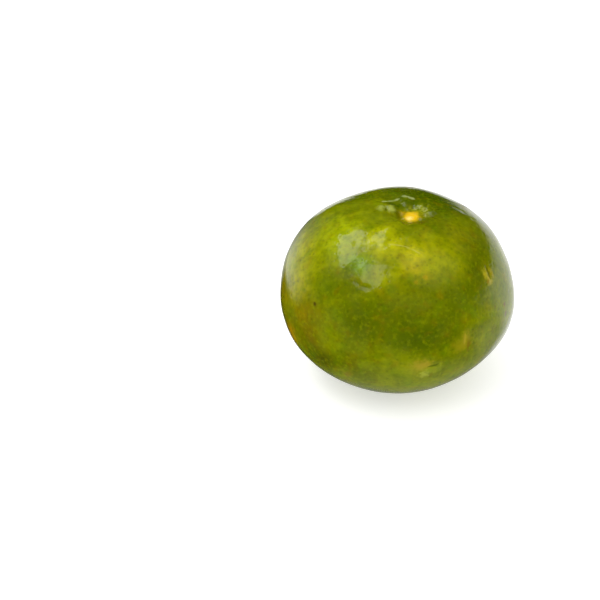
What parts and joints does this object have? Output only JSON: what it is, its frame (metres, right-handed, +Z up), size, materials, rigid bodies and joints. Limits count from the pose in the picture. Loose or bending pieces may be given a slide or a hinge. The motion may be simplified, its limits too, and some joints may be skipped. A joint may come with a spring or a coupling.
{
  "type": "satsuma mandarin",
  "caption": "Whole picked satsuma mandarin with a glossy green peel, a pale stem scar in a folded hollow and a small flat spot that it rests on.",
  "frame": {"origin": "middle of the fruit's box, on the surface that it rests on", "axes": "+Z up, -Y towards the front that the picture shows, with the stem end leaning a little to -Y and +X"},
  "size_m": [0.06, 0.0596, 0.0471],
  "materials": {
    "peel": "waxy green citrus peel with fine oil glands, semi-gloss"
  },
  "bodies": {
    "root": {"mandarin": "peel"}
  },
  "joints": []
}
